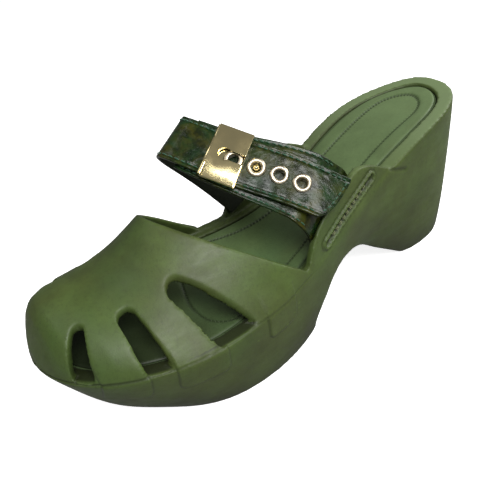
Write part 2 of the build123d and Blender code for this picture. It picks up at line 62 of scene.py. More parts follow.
# ---- driving dimensions, in millimetres, as in the CAD ----
RIM_HEIGHT = 38.5  # forefoot, from the ground
STRAP_WIDTH = 23.0
LEATHER = 1.4
STRAP_STACK = 2.4  # leather and lining
UNDER = -3.1  # face of the short strap, from the face of the long strap above it
EYELET_PITCH = 10.75
PLATE_START = -11.2  # hinge line, along the strap from the hidden eyelet
PLATE_END = 5.0
PLATE_WIDTH = 26.0
TAIL_START = 5.6  # where the free end of the long strap starts to bend
RIM_LINE = [
    (-44, 86.5), (-20, 81.5), (0, 77), (40, 62.5), (60, 52.5), (80, 44.5), (100, 40), (118, RIM_HEIGHT),
]
OUTLINE = [
    (-40, 0), (-29, 22.5), (1, 32), (45, 34), (85, 40), (125, 48.5), (155, 50), (184, 40.5), (206, 21),
    (213.5, -6), (202, -31.5), (178, -44), (150, -47), (105, -38.5), (60, -28.5), (1, -31), (-28, -20),
]
LONG_PATH = [
    (79.5, -28.8, 51, 0.86, -0.20, -0.47), (86.5, -33.5, 62, 0.86, -0.16, -0.48),
    (99.5, -37.3, 79.5, 0.86, -0.05, -0.50), (113, -29.5, 95.5, 0.86, 0.10, -0.50),
    (119, -17, 104, 0.85, 0.22, -0.48), (111, -1.5, 98.5, 0.82, 0.25, -0.52),
    (104, 8, 93.5, 0.78, 0.25, -0.57), (98, 15.7, 89.5, 0.75, 0.24, -0.62),
    (91.5, 23.6, 85.5, 0.75, 0.24, -0.62), (85, 32, 81, 0.78, 0.26, -0.57),
    (74, 43.5, 72, 0.84, 0.28, -0.47), (70, 46, 69, 0.86, 0.28, -0.43),
]
HIDDEN_EYELET_STATION = 6
TIP_REAR = 55.0  # the tip is cut on a slant between these distances
TIP_FRONT = 47.0


# ---- small geometry tools ----
SPAN_SAMPLES = 60  # fine samples between two points of a curve
TOUCHING = 1e-6  # points nearer than this are merged, in metres


def smooth_step(low, high, value):
    share = np.clip((value - low) / (high - low), 0, 1)
    return share * share * (3 - 2 * share)


def hermite(share, start, end, start_slope, end_slope):
    """Cubic from start to end with the given slopes, at a share of the way."""
    square, cube = share ** 2, share ** 3
    return (
        (2 * cube - 3 * square + 1) * start + (cube - 2 * square + share) * start_slope
        + (3 * square - 2 * cube) * end + (cube - square) * end_slope
    )


def spline_slopes(points, steps, closed):
    """Slopes at the points that keep the curve's bend continuous."""
    count = len(points)
    leaps = np.diff(points, axis=0)
    system = np.zeros((count, count))
    right = np.zeros(points.shape)
    for i in range(1, count - 1):
        before, after = steps[i - 1], steps[i]
        system[i, i - 1:i + 2] = after, 2 * (before + after), before
        right[i] = 3 * (after * leaps[i - 1] / before + before * leaps[i] / after)
    first, last = steps[0], steps[-1]
    if closed:
        system[0, 0], system[0, -1] = 1, -1
        system[-1, 0], system[-1, 1] = 2 / first, 1 / first
        system[-1, -2], system[-1, -1] = 1 / last, 2 / last
        right[-1] = 3 * (leaps[0] / first ** 2 + leaps[-1] / last ** 2)
    else:
        system[0, 0], system[0, 1] = 2, 1
        system[-1, -1], system[-1, -2] = 2, 1
        right[0] = 3 * leaps[0] / first
        right[-1] = 3 * leaps[-1] / last
    return np.linalg.solve(system, right)


def spline(points, samples, closed=False):
    """Smooth curve through points (cubic, spaced by chord), sampled evenly along its length."""
    points = np.asarray(points, float)
    if closed:
        points = np.vstack([points, points[:1]])
    steps = np.linalg.norm(np.diff(points, axis=0), axis=1)
    slopes = spline_slopes(points, steps, closed)
    share = np.linspace(0, 1, SPAN_SAMPLES, endpoint=False)[:, None]
    spans = [
        hermite(share, points[i], points[i + 1], steps[i] * slopes[i], steps[i] * slopes[i + 1])
        for i in range(len(steps))
    ]
    fine = np.vstack(spans + [points[-1:]])
    lengths = np.concatenate([[0], np.cumsum(np.linalg.norm(np.diff(fine, axis=0), axis=1))])
    wanted = np.linspace(0, lengths[-1], samples, endpoint=not closed)
    return np.stack([np.interp(wanted, lengths, fine[:, k]) for k in range(fine.shape[1])], 1), lengths[-1]


def rim_height(run):
    """Height of the rim's top; level in front of the ball of the foot."""
    run = np.asarray(run, float)
    runs, heights = np.array(RIM_LINE, float).T
    slope = np.gradient(heights, runs)
    slope[-1] = 0
    i = np.clip(np.searchsorted(runs, run) - 1, 0, len(runs) - 2)
    span = runs[i + 1] - runs[i]
    share = np.clip((run - runs[i]) / span, 0, 1)
    return hermite(share, heights[i], heights[i + 1], span * slope[i], span * slope[i + 1])


def add_object(name, data):
    obj = bpy.data.objects.new(name, data)
    bpy.context.scene.collection.objects.link(obj)
    return obj


def shade_smooth(mesh):
    mesh.polygons.foreach_set("use_smooth", [True] * len(mesh.polygons))


@contextmanager
def editing(mesh):
    """Opens a mesh for editing and writes the result back."""
    work = bmesh.new()
    work.from_mesh(mesh)
    yield work
    work.to_mesh(mesh)
    work.free()


def mesh_object(name, points_mm, faces, smooth=True):
    mesh = bpy.data.meshes.new(name)
    mesh.from_pydata([tuple(p) for p in np.asarray(points_mm, float) * MM], [], faces)
    mesh.validate()
    mesh.update()
    if smooth:
        shade_smooth(mesh)
    return add_object(name, mesh)


def modify(obj, kind, **settings):
    """Adds a modifier and replaces the object's mesh by what it gives."""
    modifier = obj.modifiers.new(kind.lower(), kind)
    for key, value in settings.items():
        setattr(modifier, key, value)
    graph = bpy.context.evaluated_depsgraph_get()
    graph.update()
    mesh = bpy.data.meshes.new_from_object(obj.evaluated_get(graph))
    old = obj.data
    obj.modifiers.clear()
    obj.data = mesh
    bpy.data.meshes.remove(old)


def outward(obj):
    """Makes the faces point outward."""
    with editing(obj.data) as work:
        bmesh.ops.recalc_face_normals(work, faces=work.faces)
    return obj


def cut(obj, cutter):
    """Subtracts a closed cutter and removes it."""
    modify(obj, "BOOLEAN", operation="DIFFERENCE", solver="EXACT", object=cutter)
    bpy.data.objects.remove(cutter)


def per_point(mesh, field):
    """Rows of three numbers for the mesh's points: field is co or normal."""
    values = np.zeros(len(mesh.vertices) * 3)
    mesh.vertices.foreach_get(field, values)
    return values.reshape(-1, 3)


def store_mask(mesh, name, values):
    """Per-point number that a material can read."""
    attribute = mesh.attributes.new(name, "FLOAT", "POINT")
    attribute.data.foreach_set("value", np.asarray(values, np.float32))


def grid_faces(rows, columns, offset=0, wrap=False, flip=False):
    """Faces between the points of a grid; wrap closes each row into a ring."""
    faces = []
    last = columns if wrap else columns - 1
    for i in range(rows - 1):
        for j in range(last):
            a = offset + i * columns + j
            b = offset + i * columns + (j + 1) % columns
            face = (a, b, b + columns, a + columns)
            faces.append(face[::-1] if flip else face)
    return faces


def tube_faces(rings, columns, offset=0):
    """Faces of a closed tube of rings, with a cap at each end."""
    last_ring = offset + (rings - 1) * columns
    caps = [tuple(range(offset, offset + columns))[::-1], tuple(range(last_ring, last_ring + columns))]
    return grid_faces(rings, columns, offset, wrap=True) + caps


def turn_angles(sides):
    return np.linspace(0, 2 * math.pi, sides, endpoint=False)


def plan_tree(points):
    """Search tree over points in plan."""
    tree = KDTree(len(points))
    for i, p in enumerate(points):
        tree.insert((p[0], p[1], 0), i)
    tree.balance()
    return tree


def ridge(distance, centre, width):
    """1 at the centre, falling off smoothly to both sides."""
    return np.exp(-((distance - centre) / width) ** 2)


# ---- straps follow bands: a path with a direction across it ----
class Band:
    """Distances are in millimetres along the path from the zero station."""

    SAMPLES = 900

    def __init__(self, stations, zero_station=0):
        stations = np.asarray(stations, float)
        points = np.stack([stations[:, 1], -stations[:, 0], stations[:, 2]], 1)
        across = np.stack([stations[:, 4], -stations[:, 3], stations[:, 5]], 1)
        self.points, self.length = spline(points, self.SAMPLES)
        near = [np.linalg.norm(self.points - p, axis=1).argmin() for p in points]
        self.marks = np.array(near) / (self.SAMPLES - 1) * self.length
        self.zero = self.marks[zero_station]
        forward = np.gradient(self.points, axis=0)
        self.forward = forward / np.linalg.norm(forward, axis=1)[:, None]
        place = np.linspace(0, self.length, self.SAMPLES)
        w = np.stack([np.interp(place, self.marks, across[:, k]) for k in range(3)], 1)
        w -= self.forward * (w * self.forward).sum(1)[:, None]
        self.across = w / np.linalg.norm(w, axis=1)[:, None]
        self.out = np.cross(self.across, self.forward)
        self.start = -self.zero
        self.end = self.length - self.zero

    def read(self, table, distance):
        """Values of a table at distances; past the ends they stay as at the ends."""
        place = np.clip(np.asarray(distance, float) + self.zero, 0, self.length)
        scale = place / self.length * (self.SAMPLES - 1)
        return np.stack([np.interp(scale, np.arange(self.SAMPLES), table[:, k]) for k in range(3)], -1)

    def place(self, distance, aside, height):
        """Points in millimetres; a distance past an end runs on straight."""
        distance = np.asarray(distance, float)
        over = distance - np.clip(distance, self.start, self.end)
        aside = np.broadcast_to(aside, distance.shape)
        height = np.broadcast_to(height, distance.shape)
        return (
            self.read(self.points, distance) + self.read(self.forward, distance) * over[..., None]
            + self.read(self.across, distance) * aside[..., None]
            + self.read(self.out, distance) * height[..., None]
        )

    def axes(self, distance):
        """Directions along, across and outward."""
        return [self.read(table, distance) for table in (self.forward, self.across, self.out)]

    def matrix(self, distance):
        """Local frame on the middle line, in metres: x along, y across, z outward."""
        forward, across, out = self.axes(distance)
        turned = Matrix([forward, -across, out]).transposed().to_4x4()
        return Matrix.Translation(self.place(distance, 0.0, 0.0) * MM) @ turned


LONG = Band(LONG_PATH, HIDDEN_EYELET_STATION)


def short_stations():
    stations = []
    for distance in (-24, -18, -12, -6, 0, 6, 12, 18, 24, 30, 34):
        p = LONG.place(distance, 0, UNDER)
        w = LONG.read(LONG.across, distance)
        stations.append((-p[1], p[0], p[2], -w[1], w[0], w[2]))
    stations.append((76.5, 35.0, 69.5, 0.85, 0.22, -0.47))
    stations.append((72, 33.0, 63, 0.86, 0.20, -0.47))
    stations.append((69.5, 31.8, 58.5, 0.86, 0.20, -0.47))
    return stations


SHORT = Band(short_stations(), 4)
SHORT_EDGES = np.array([(-24, -13.5, 12.5), (0, -14.3, 13.8), (32, -17.3, 16), (60, -19, 19)], float)
HALF = STRAP_WIDTH / 2
PLY_CELL = 0.55  # width of the grid's cells across a strap
ROUND_STEPS = 5  # grid lines over a rounded edge
TIP_STRETCH = 22  # the slanted tip squeezes the grid over this length


def ply(name, band, along, across, low, high, rounding, end_line=None, relief=None):
    """Closed sheet of leather: a grid over the band with rounded edges, top and bottom.

    along: (start, end, step); across(d) gives the two edges; end_line(a) gives where the sheet ends at
    an offset across; relief(d, a) is added to the top surface.
    """
    start, end, step = along
    ease = 1 - np.cos(np.linspace(0, math.pi / 2, ROUND_STEPS)[:-1])
    d_row = np.concatenate([
        start + rounding * ease,
        np.linspace(start + rounding, end - rounding, max(4, int((end - start) / step))),
        end - rounding * ease[::-1],
    ])
    rear, front = across(d_row)
    width = (front - rear).min()
    edge = rounding / width
    inner = np.linspace(edge, 1 - edge, max(6, int(width / PLY_CELL)))
    corner = edge * ease
    share = np.concatenate([corner, inner, (1 - corner)[::-1]])
    d = np.repeat(d_row[:, None], len(share), 1)
    a = rear[:, None] + (front - rear)[:, None] * share[None]
    to_end = end - d
    if end_line is not None:
        limit = end_line(a)
        bend = end - TIP_STRETCH
        stretch = (limit - bend) / (end - bend)
        d = np.where(d > bend, bend + (d - bend) * stretch, d)
        to_end = limit - d
    gap = np.minimum(np.minimum(a - rear[:, None], front[:, None] - a), np.minimum(d - start, to_end))
    gap = np.clip(gap, 0, rounding)
    drop = rounding - np.sqrt(np.maximum(rounding ** 2 - (rounding - gap) ** 2, 0))
    middle = (low + high) / 2
    thick = (high - low) / 2
    top = high - np.minimum(drop, thick)
    bottom = low + np.minimum(drop, thick)
    on_edge = gap <= TOUCHING
    top = np.where(on_edge, middle, top)
    bottom = np.where(on_edge, middle, bottom)
    if relief is not None:
        top = top + relief(d, a) * ~on_edge
    rows, columns = d.shape
    upper = band.place(d, a, top).reshape(-1, 3)
    lower = band.place(d, a, bottom).reshape(-1, 3)
    faces = grid_faces(rows, columns) + grid_faces(rows, columns, rows * columns, flip=True)
    obj = mesh_object(name, np.vstack([upper, lower]), faces)
    with editing(obj.data) as work:
        bmesh.ops.remove_doubles(work, verts=work.verts, dist=TOUCHING)
        bmesh.ops.dissolve_degenerate(work, dist=TOUCHING / 10, edges=work.edges)
        bmesh.ops.recalc_face_normals(work, faces=work.faces)
    shade_smooth(obj.data)
    return obj


def prism(outline, low, high, matrix):
    """Closed cutter: an outline between two heights, in a band's local frame."""
    points = [(x, y, h) for h in (low, high) for x, y in outline]
    obj = mesh_object("cutter", points, tube_faces(2, len(outline)), False)
    obj.data.transform(matrix)
    return outward(obj)


def peg(band, distance, radius, low, high, sides=48):
    """Closed round cutter along the band's normal, on its middle line."""
    outline = [(radius * math.cos(angle), radius * math.sin(angle)) for angle in turn_angles(sides)]
    return prism(outline, low, high, band.matrix(distance))


def lathe(name, profile, matrix, sides=56):
    """Closed ring turned from a closed profile of (radius, height) in millimetres."""
    points = []
    for angle in turn_angles(sides):
        points += [(radius * math.cos(angle), radius * math.sin(angle), height) for radius, height in profile]
    count = len(profile)
    faces = []
    for i in range(sides):
        this, following = i * count, (i + 1) % sides * count
        for j in range(count):
            k = (j + 1) % count
            faces.append((this + j, this + k, following + k, following + j))
    obj = mesh_object(name, points, faces)
    obj.data.transform(matrix)
    return outward(obj)


def join(name, objects):
    """One object from several."""
    mesh = bpy.data.meshes.new(name)
    with editing(mesh) as work:
        for obj in objects:
            work.from_mesh(obj.data)
    for obj in objects:
        bpy.data.objects.remove(obj)
    shade_smooth(mesh)
    return add_object(name, mesh)


THREAD_SIDES = 8
THREAD_BEADS = 7  # rings of points along one stitch
THREAD_RISE = 0.12  # a stitch's middle line stands this far above the leather
THREAD_DIP = 0.32  # its ends are this much lower
THREAD_SLANT = 0.10  # and this far off the seam line
THREAD_TAPER = 0.96  # its ends keep a fifth of its thickness


def stitch_row(band, start, end, aside, height, pitch=2.9, length=2.35, radius=0.36):
    """Points and faces of thread humps along a seam: each rises out of the leather and dips back in."""
    count = max(1, round((end - start) / pitch))
    pitch = (end - start) / count
    points = []
    faces = []
    for i in range(count):
        middle = start + pitch * (i + 0.5)
        faces += tube_faces(THREAD_BEADS, THREAD_SIDES, len(points))
        side = aside(middle) if callable(aside) else aside
        for k in range(THREAD_BEADS):
            share = k / (THREAD_BEADS - 1) * 2 - 1
            reach = radius * math.sqrt(1 - THREAD_TAPER * share * share)
            for m in range(THREAD_SIDES):
                angle = 2 * math.pi * m / THREAD_SIDES
                rise = reach * math.sin(angle) + THREAD_RISE - THREAD_DIP * share ** 2
                across = reach * math.cos(angle) + THREAD_SLANT * share
                points.append(band.place(middle + share * length / 2, side + across, height + rise))
    return points, faces


def stitches(name, rows):
    points, faces = [], []
    for row_points, row_faces in rows:
        shift = len(points)
        points += row_points
        faces += [tuple(index + shift for index in face) for face in row_faces]
    return outward(mesh_object(name, points, faces))


# ---- materials ----
class Nodes:
    """Short way to write a node tree."""

    def __init__(self, name):
        self.material = bpy.data.materials.new(name)
        self.material.use_nodes = True
        self.tree = self.material.node_tree
        self.tree.nodes.clear()
        self.shader = self.add("ShaderNodeBsdfPrincipled")
        output = self.add("ShaderNodeOutputMaterial")
        self.link(self.shader.outputs[0], output.inputs["Surface"])
        self.place = self.add("ShaderNodeTexCoord").outputs["Object"]

    def add(self, kind, **values):
        node = self.tree.nodes.new(kind)
        for key, value in values.items():
            setattr(node, key, value)
        return node

    def link(self, source, target):
        self.tree.links.new(source, target)

    def put(self, target, value):
        if hasattr(value, "links"):
            self.link(value, target)
        else:
            target.default_value = value

    def noise(self, scale, detail=3.0, rough=0.5, stretch=None, distortion=0.0):
        """Noise of 0 to 1; scales are in features per metre."""
        node = self.add("ShaderNodeTexNoise")
        settings = {"Scale": scale, "Detail": detail, "Roughness": rough, "Distortion": distortion}
        for key, value in settings.items():
            node.inputs[key].default_value = value
        source = self.place
        if stretch:
            mapping = self.add("ShaderNodeMapping")
            mapping.inputs["Scale"].default_value = stretch
            self.link(source, mapping.inputs["Vector"])
            source = mapping.outputs[0]
        self.link(source, node.inputs["Vector"])
        return node.outputs["Fac"]

    def cells(self, scale, feature="F1"):
        node = self.add("ShaderNodeTexVoronoi", feature=feature)
        node.inputs["Scale"].default_value = scale
        self.link(self.place, node.inputs["Vector"])
        return node.outputs["Distance"]

    def ramp(self, value, stops):
        """Number from a number, between two stops of (value, result)."""
        node = self.add("ShaderNodeValToRGB")
        self.link(value, node.inputs[0])
        for element, (position, level) in zip(node.color_ramp.elements, stops):
            element.position = position
            element.color = (level, level, level, 1)
        return node.outputs[0]

    def mix(self, amount, a, b):
        """From colour a to colour b by an amount."""
        node = self.add("ShaderNodeMix", data_type="RGBA")
        self.put(node.inputs[0], amount)
        self.put(node.inputs[6], a if hasattr(a, "links") else (*a, 1))
        self.put(node.inputs[7], b if hasattr(b, "links") else (*b, 1))
        return node.outputs[2]

    def times(self, a, b):
        node = self.add("ShaderNodeMath", operation="MULTIPLY")
        self.put(node.inputs[0], a)
        self.put(node.inputs[1], b)
        return node.outputs[0]

    def attribute(self, name):
        return self.add("ShaderNodeAttribute", attribute_name=name).outputs["Fac"]

    def split(self, vector):
        node = self.add("ShaderNodeSeparateXYZ")
        self.link(vector, node.inputs[0])
        return node.outputs

    def height(self, share):
        """Height above the ground, times a share per metre."""
        return self.times(self.split(self.place)[2], share)

    def run(self, share):
        """Distance towards the toe, times a share per metre."""
        return self.times(self.split(self.place)[1], -share)

    def bump(self, parts):
        """Chained bumps: (height, strength, distance in millimetres)."""
        normal = None
        for value, strength, distance in parts:
            node = self.add("ShaderNodeBump")
            node.inputs["Strength"].default_value = strength
            node.inputs["Distance"].default_value = distance * MM
            self.link(value, node.inputs["Height"])
            if normal is not None:
                self.link(normal, node.inputs["Normal"])
            normal = node.outputs[0]
        self.link(normal, self.shader.inputs["Normal"])

    def set(self, **values):
        """Sets inputs of the shader by their names, with _ for a space."""
        for key, value in values.items():
            self.put(self.shader.inputs[key.replace("_", " ")], value)


def srgb(red, green, blue):
    """Linear colour from screen values of 0 to 255."""
    shares = [value / 255 for value in (red, green, blue)]
    return tuple(c / 12.92 if c <= 0.04045 else ((c + 0.055) / 1.055) ** 2.4 for c in shares)


def tinted(colour, *shares):
    """A colour times one share, or times a share for each of its channels."""
    shares = shares * 3 if len(shares) == 1 else shares
    return tuple(c * share for c, share in zip(colour, shares))


HOLLOW_REACH = 0.03  # painted shade darkens hollows narrower than this, in metres
PAINTED_TOP_LIGHT = srgb(126, 145, 104)  # painted light on upward faces towards the heel


def rubber_material(name, light, dark, shade=0.8, grain_depth=0.35, heel_top_light=0.6, toe_shade=0.0):
    """Moulded rubber: mottled and scuffed, darker near the ground, with painted shade in creases and hollows.

    Painted light makes it paler on upward faces towards the heel, and painted shade darkens the insole
    towards the toe.
    """
    n = Nodes(name)
    mottle = n.noise(28, 4, 0.6)
    patch = n.noise(70, 4, 0.6)
    grain = n.noise(1500, 2, 0.6)
    colour = n.mix(n.ramp(mottle, [(0.35, 0.0), (0.68, 1.0)]), light, dark)
    colour = n.mix(n.ramp(patch, [(0.40, 0.0), (0.72, 0.35)]), colour, tinted(dark, 0.72))
    brown = n.noise(17, 5, 0.65, distortion=0.4)
    colour = n.mix(n.ramp(brown, [(0.48, 0.0), (0.72, 0.5)]), colour, tinted(dark, 1.15, 0.86, 0.8))
    green = n.noise(14, 4, 0.6, distortion=0.3)
    colour = n.mix(n.ramp(green, [(0.5, 0.0), (0.7, 0.4)]), colour, tinted(light, 0.85, 1.15, 1.2))
    grounded = n.ramp(n.height(12.0), [(0.0, 0.34), (0.55, 0.0)])
    colour = n.mix(grounded, colour, tinted(dark, 0.86, 0.74, 0.62))
    # painted shade from the crease mask: creases, grooves, flap edges, the dotted line and the rim inside the
    # windows
    colour = n.mix(n.attribute("crease"), colour, tinted(dark, 0.3))
    # painted shade: hollows darken by ambient occlusion
    hollow = n.add("ShaderNodeAmbientOcclusion", samples=6)
    hollow.inputs["Distance"].default_value = HOLLOW_REACH
    depth = n.ramp(hollow.outputs["AO"], [(0.15, shade), (0.8, 0.0)])
    colour = n.mix(depth, colour, tinted(dark, 0.16))
    speck = n.noise(650, 3, 0.7)
    colour = n.mix(n.ramp(speck, [(0.50, 0.0), (0.70, 0.30)]), colour, tinted(dark, 0.55))
    # painted shade: the insole darkens towards the toe
    if toe_shade:
        toe_shaded = n.ramp(n.run(4.0), [(0.48, 0.0), (0.76, toe_shade)])
        colour = n.mix(toe_shaded, colour, tinted(dark, 0.17))
    geometry = n.add("ShaderNodeNewGeometry").outputs
    # painted light: upward faces towards the heel are paler
    upward = n.ramp(n.split(geometry["Normal"])[2], [(0.8, 0.0), (0.96, 1.0)])
    heelward = n.ramp(n.run(4.0), [(0.0, heel_top_light), (0.36, 0.0)])
    colour = n.mix(n.times(upward, heelward), colour, PAINTED_TOP_LIGHT)
    # lighter on sharp edges
    pale_edge = n.ramp(geometry["Pointiness"], [(0.53, 0.0), (0.62, 0.32)])
    colour = n.mix(pale_edge, colour, tinted(light, 1.5))
    scuff = n.noise(160, 5, 0.7, stretch=(1, 0.35, 1.2))
    n.set(Base_Color=colour, Roughness=n.ramp(scuff, [(0.3, 0.44), (0.7, 0.58)]), Specular_IOR_Level=0.42)
    n.bump([(grain, grain_depth, 0.12), (scuff, 0.12, 0.3), (patch, 0.06, 0.5)])
    return n.material


def leather_material(name, base, patch_colour, dark, gloss):
    """Patent leather: mottled, with fine creases that break up its shine."""
    n = Nodes(name)
    mottle = n.noise(75, 4, 0.6, distortion=0.6)
    cloud = n.noise(190, 3, 0.6)
    crinkle = n.noise(330, 4, 0.62, stretch=(0.7, 1.3, 1.0))
    colour = n.mix(n.ramp(mottle, [(0.42, 0.0), (0.66, 0.85)]), base, patch_colour)
    colour = n.mix(n.ramp(cloud, [(0.38, 0.75), (0.62, 0.0)]), colour, dark)
    n.set(Base_Color=colour, Roughness=n.ramp(cloud, [(0.3, gloss), (0.8, gloss + 0.14)]))
    n.set(Coat_Weight=0.16, Coat_Roughness=0.12, Specular_IOR_Level=0.2)
    pores = n.ramp(n.cells(1100, "DISTANCE_TO_EDGE"), [(0.0, 0.0), (0.12, 1.0)])
    n.bump([(crinkle, 0.8, 0.4), (mottle, 0.4, 1.1), (pores, 0.12, 0.05)])
    return n.material


def lining_material():
    """Split leather: matt and fibrous."""
    n = Nodes("split_leather")
    fibre = n.noise(900, 5, 0.7)
    cloud = n.noise(120, 3, 0.5)
    n.set(Base_Color=n.mix(cloud, srgb(38, 44, 26), srgb(24, 28, 18)), Roughness=0.72)
    n.bump([(fibre, 0.5, 0.12)])
    return n.material


def metal_material(name, light, dark, gloss):
    """Polished plating with faint brushing and smudges."""
    n = Nodes(name)
    brush = n.noise(260, 4, 0.6, stretch=(1, 1, 14))
    smudge = n.noise(150, 3, 0.5)
    colour = n.mix(n.ramp(smudge, [(0.4, 0.0), (0.75, 0.4)]), light, dark)
    n.set(Base_Color=colour, Metallic=1.0, Roughness=n.ramp(smudge, [(0.3, gloss), (0.8, gloss + 0.12)]))
    n.bump([(brush, 0.04, 0.05), (smudge, 0.05, 0.3)])
    return n.material


def thread_material(name, colour):
    """Twisted thread with a slight sheen."""
    n = Nodes(name)
    twist = n.noise(1400, 2, 0.6, stretch=(1, 2.5, 1))
    n.set(Base_Color=n.mix(twist, colour, tinted(colour, 0.45)), Roughness=0.55, Sheen_Weight=0.3)
    n.bump([(twist, 0.6, 0.1)])
    return n.material


def foam_material():
    """Fine-celled foam."""
    n = Nodes("foam")
    n.set(Base_Color=n.mix(n.noise(60), srgb(52, 68, 36), srgb(66, 84, 46)), Roughness=0.85)
    n.bump([(n.cells(900), 0.5, 0.2)])
    return n.material


RUBBER = rubber_material("olive_rubber", srgb(79, 97, 43), srgb(56, 66, 27))
# the insole has painted shade towards the toe and a little painted light on top at the heel
INSOLE = rubber_material("insole_sheet", srgb(92, 113, 69), srgb(73, 92, 52),
                         shade=0.85, grain_depth=0.6, heel_top_light=0.22, toe_shade=0.95)
PATENT = leather_material("patent_leather", srgb(26, 52, 20), srgb(66, 62, 10), srgb(8, 18, 8), 0.22)
BACKING = lining_material()
GOLD = metal_material("gold_plate", (0.95, 0.82, 0.44), (0.82, 0.66, 0.32), 0.07)
PALE_METAL = metal_material("eyelet_metal", (0.62, 0.55, 0.42), (0.42, 0.34, 0.22), 0.30)
THREAD = thread_material("strap_thread", srgb(30, 88, 54))
EAR_THREAD = thread_material("ear_thread", srgb(112, 120, 66))
FOAM = foam_material()


def finish_piece(obj, material, slot, body, *replaced):
    """Gives a piece its material and body, and the CAD nodes it stands for; slot is not used."""
    obj.data.materials.clear()
    obj.data.materials.append(material)
    if body:
        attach(obj, body)
    if replaced:
        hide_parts(*replaced)
    return obj


# ---- rubber: sole, toe cover and ears ----
def copy_node(name, drop=0.0):
    """Copy of a CAD node, lowered by some millimetres."""
    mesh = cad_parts[name].data.copy()
    mesh.transform(Matrix.Translation((0, 0, -drop * MM)))
    return add_object("copy_" + name, mesh)


VOXEL = 0.85
SOFTEN_ROUNDS = 7
BOND_DEPTH = 0.5  # the upper is sunk this far into the sole, so that they fuse
OUTLINE_SAMPLES = 1400


def rubber_body():
    """Sole and upper in one skin: remeshed, softened, then the crease, panels and grooves pressed in."""
    body = join("rubber_body", [copy_node("sole_wedge"), copy_node("upper_shell", BOND_DEPTH)])
    modify(body, "REMESH", mode="VOXEL", voxel_size=VOXEL * MM)
    modify(body, "SMOOTH", factor=0.5, iterations=SOFTEN_ROUNDS)
    press_details(body.data)
    shade_smooth(body.data)
    return body


def segment_distance(run, height, start, end):
    """Distance in the side view from a segment."""
    start, end = np.array(start, float), np.array(end, float)
    line = end - start
    share = ((run - start[0]) * line[0] + (height - start[1]) * line[1]) / (line @ line)
    share = np.clip(share, 0, 1)
    return np.hypot(run - start[0] - share * line[0], height - start[1] - share * line[1])


# details pressed into the rubber, in millimetres; 1 is the outer side of the foot, -1 the inner side
CREASE_DEPTH = 0.6  # where the cover meets the sole
CREASE_REACH = 2.5  # the crease gets finer faces this far above and below it
CREASE_REAR = 80  # run from which it gets them
COVER_REAR = 98  # run from which the wall down to the flaps' ends gets them too
# ends of the cover's bands, as flaps on the sole's wall: run of the rear and front edges
FLAPS = {1: [(107, 125), (148, 170), (180.5, 197)], -1: [(108, 127), (144, 165), (176, 192)]}
FLAP_DROP = 13
FLAP_RISE = 0.8
FLAP_CORNER = 3.0
# the ears: stitched grooves and a short crease behind them, as (run, height) in the side view
EAR_SIDE = 24  # the ears' outer faces lie further out than this
GROOVES = {1: ((46, 68.3), (80.3, 50.3)), -1: ((50, 66), (80, 50.5))}
GROOVE_FALL = 0.525  # height lost for each millimetre of run
GROOVE_RUNS = (12, 88)  # the skin around the grooves gets finer faces here
GROOVE_REACH = 5
GROOVE_DEPTH = 0.7
LIP_RISE = 1.1
LIP_AT = 2.5  # the lip's distance from the groove's middle line
OUTER_LINE_AT = 4.0  # a fine line around the lip
OUTER_LINE_DEPTH = 0.3
EAR_CREASE = ((31, 66.4), (20, 62))
EAR_CREASE_DEPTH = 0.7
EAR_CREASE_WIDTH = 0.9


def refine(mesh, wanted):
    """Cuts the edges in half whose first point is wanted."""
    with editing(mesh) as work:
        fine = []
        for edge in work.edges:
            p = edge.verts[0].co / MM
            if wanted(-p.y, p.x, p.z):
                fine.append(edge)
        bmesh.ops.subdivide_edges(work, edges=fine, cuts=1, use_grid_fill=True)


def needs_detail(run, side, height):
    """True near the flaps, the grooves and the crease along the rim."""
    if run > COVER_REAR:
        return -FLAP_DROP - 2 < height - RIM_HEIGHT < CREASE_REACH
    groove_run, groove_height = GROOVES[1][0]
    off_groove = height - (groove_height - GROOVE_FALL * (run - groove_run))
    if abs(side) > EAR_SIDE and GROOVE_RUNS[0] < run < GROOVE_RUNS[1] and abs(off_groove) < GROOVE_REACH:
        return True
    return run > CREASE_REAR and abs(height - float(rim_height(run))) < CREASE_REACH


def outline_points(count):
    """Evenly spaced points of the rim's outline, in plan."""
    return spline([(side, -run) for run, side in OUTLINE], count, closed=True)[0]


def outline_gap(side, run):
    """Distance in plan from the rim's outline."""
    tree = plan_tree(outline_points(OUTLINE_SAMPLES))
    return np.array([tree.find((a, -b, 0))[2] for a, b in zip(side, run)])


def flap_share(run, above_rim, edges):
    """1 inside a round-cornered flap, fading out above the rim, and the distance from its edge."""
    rear, front = edges
    beside = np.abs(run - (rear + front) / 2) - (front - rear) / 2 + FLAP_CORNER
    below = -above_rim - FLAP_DROP + FLAP_CORNER
    outside = np.hypot(np.maximum(beside, 0), np.maximum(below, 0))
    distance = outside + np.minimum(np.maximum(beside, below), 0) - FLAP_CORNER
    return (1 - smooth_step(-0.6, 0.6, distance)) * (1 - smooth_step(1, 12, above_rim)), distance


def cover_wall(run, side, above_rim, normal):
    """Where the skin is the outside of the cover or of the sole's wall, and the distance from the outline."""
    near = np.nonzero((above_rim > -FLAP_DROP - 6) & (above_rim < 14) & (run > 60))[0]
    gap = np.full(len(run), 99.0)
    gap[near] = outline_gap(side[near], run[near])
    steep = np.hypot(normal[:, 0], normal[:, 1]) > 0.3
    outward_facing = normal[:, 0] * np.sign(side) - 0.3 * normal[:, 1] * (run > 150) > 0.1
    return (gap < 4.5 + 0.5 * np.abs(above_rim)) & steep & outward_facing, gap


def junction(run, above_rim):
    """Strength of the crease between cover and sole; it is fainter behind the toe."""
    strength = 0.45 + 0.55 * smooth_step(165, 195, run)
    return ridge(above_rim, -0.1, 0.5) * smooth_step(84, 100, run) * strength


